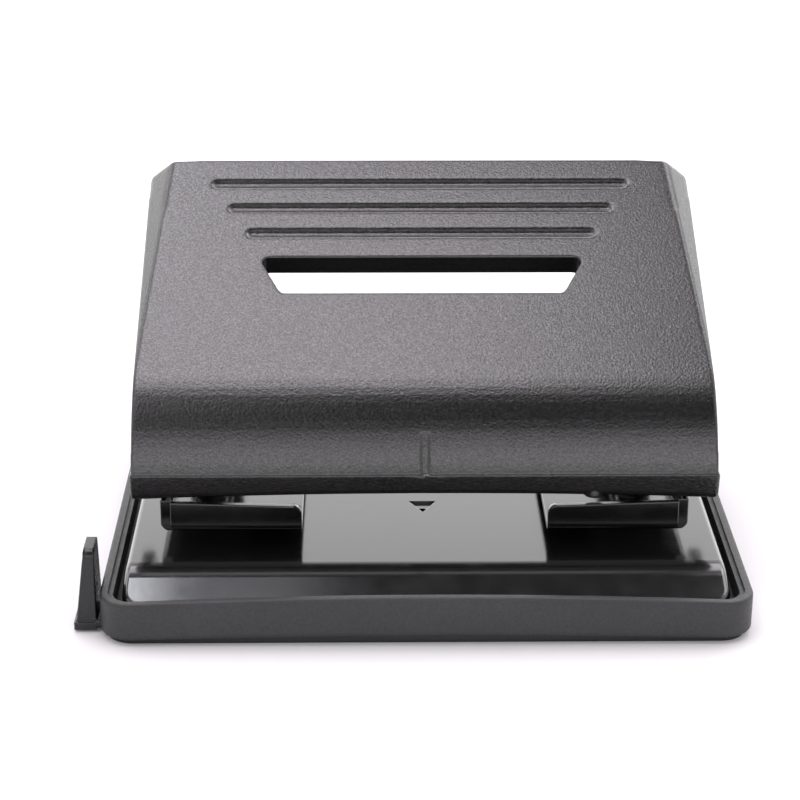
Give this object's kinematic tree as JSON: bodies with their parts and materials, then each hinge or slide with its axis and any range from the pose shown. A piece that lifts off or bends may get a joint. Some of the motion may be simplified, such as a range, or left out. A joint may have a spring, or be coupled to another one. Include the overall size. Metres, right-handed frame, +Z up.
{
  "type": "hole punch",
  "caption": "Desktop hole punch with a wide slanted lever handle, a pair of sprung punch heads on a pressed plate, a chip tray and a sliding paper guide.",
  "frame": {"origin": "middle of the chip tray's footprint, on the desk", "axes": "+X to the right seen from the paper side, +Y away from the paper side, +Z up"},
  "size_m": [0.1208, 0.098, 0.0666],
  "materials": {
    "handle_plastic": "fine grained black moulded plastic",
    "tray_plastic": "matte black moulded plastic",
    "guide_plastic": "smooth black moulded plastic",
    "black_steel": "gloss black enamel on pressed steel",
    "bracket_steel": "semi-gloss black enamel on folded steel",
    "frame_steel": "satin black enamel on pressed steel",
    "hardened_steel": "ground hardened steel",
    "spring_steel": "drawn spring steel",
    "zinc_steel": "zinc plated steel"
  },
  "bodies": {
    "base_tray": {"chip_tray": "tray_plastic"},
    "paper_guide_bar": {"paper_guide": "guide_plastic"},
    "chassis": {"base_plate": "black_steel", "left_bracket": "bracket_steel", "right_bracket": "bracket_steel", "bracket_rivets": "bracket_steel", "left_pivot_pin": "zinc_steel", "right_pivot_pin": "zinc_steel", "left_pivot_ring": "spring_steel", "right_pivot_ring": "spring_steel", "left_pin_spring": "spring_steel", "right_pin_spring": "spring_steel"},
    "handle": {"handle_cover": "handle_plastic", "lever_frame": "frame_steel", "frame_screws": "zinc_steel"},
    "left_punch": {"left_punch_pin": "hardened_steel", "left_pin_clip": "spring_steel", "left_pin_washer": "zinc_steel"},
    "right_punch": {"right_punch_pin": "hardened_steel", "right_pin_clip": "spring_steel", "right_pin_washer": "zinc_steel"}
  },
  "joints": [
    {"name": "paper_guide_slide", "type": "slide", "parent": "base_tray", "child": "paper_guide_bar", "axis": [-1, 0, 0], "range_m": [0, 0.07]},
    {"name": "tray_hinge", "type": "hinge", "parent": "base_tray", "child": "chassis", "pos_m": [0, 0.0459, 0.0062], "axis": [-1, 0, 0], "range_deg": [0, 35]},
    {"name": "handle_pivot", "type": "hinge", "parent": "chassis", "child": "handle", "pos_m": [0, -0.019, 0.025], "axis": [-1, 0, 0], "range_deg": [0, 26], "stiffness_Nm_per_rad": 0.3, "springref_deg": -28.65},
    {"name": "left_punch_slide", "type": "slide", "parent": "chassis", "child": "left_punch", "axis": [0, 0, -1], "range_m": [0, 0.0055], "deforming": ["left_pin_spring"]},
    {"name": "right_punch_slide", "type": "slide", "parent": "chassis", "child": "right_punch", "axis": [0, 0, -1], "range_m": [0, 0.0055], "deforming": ["right_pin_spring"]}
  ],
  "couplings": [
    {"joint": "left_punch_slide", "follows": "handle_pivot", "m_per_rad": 0.012},
    {"joint": "right_punch_slide", "follows": "handle_pivot", "m_per_rad": 0.012}
  ]
}
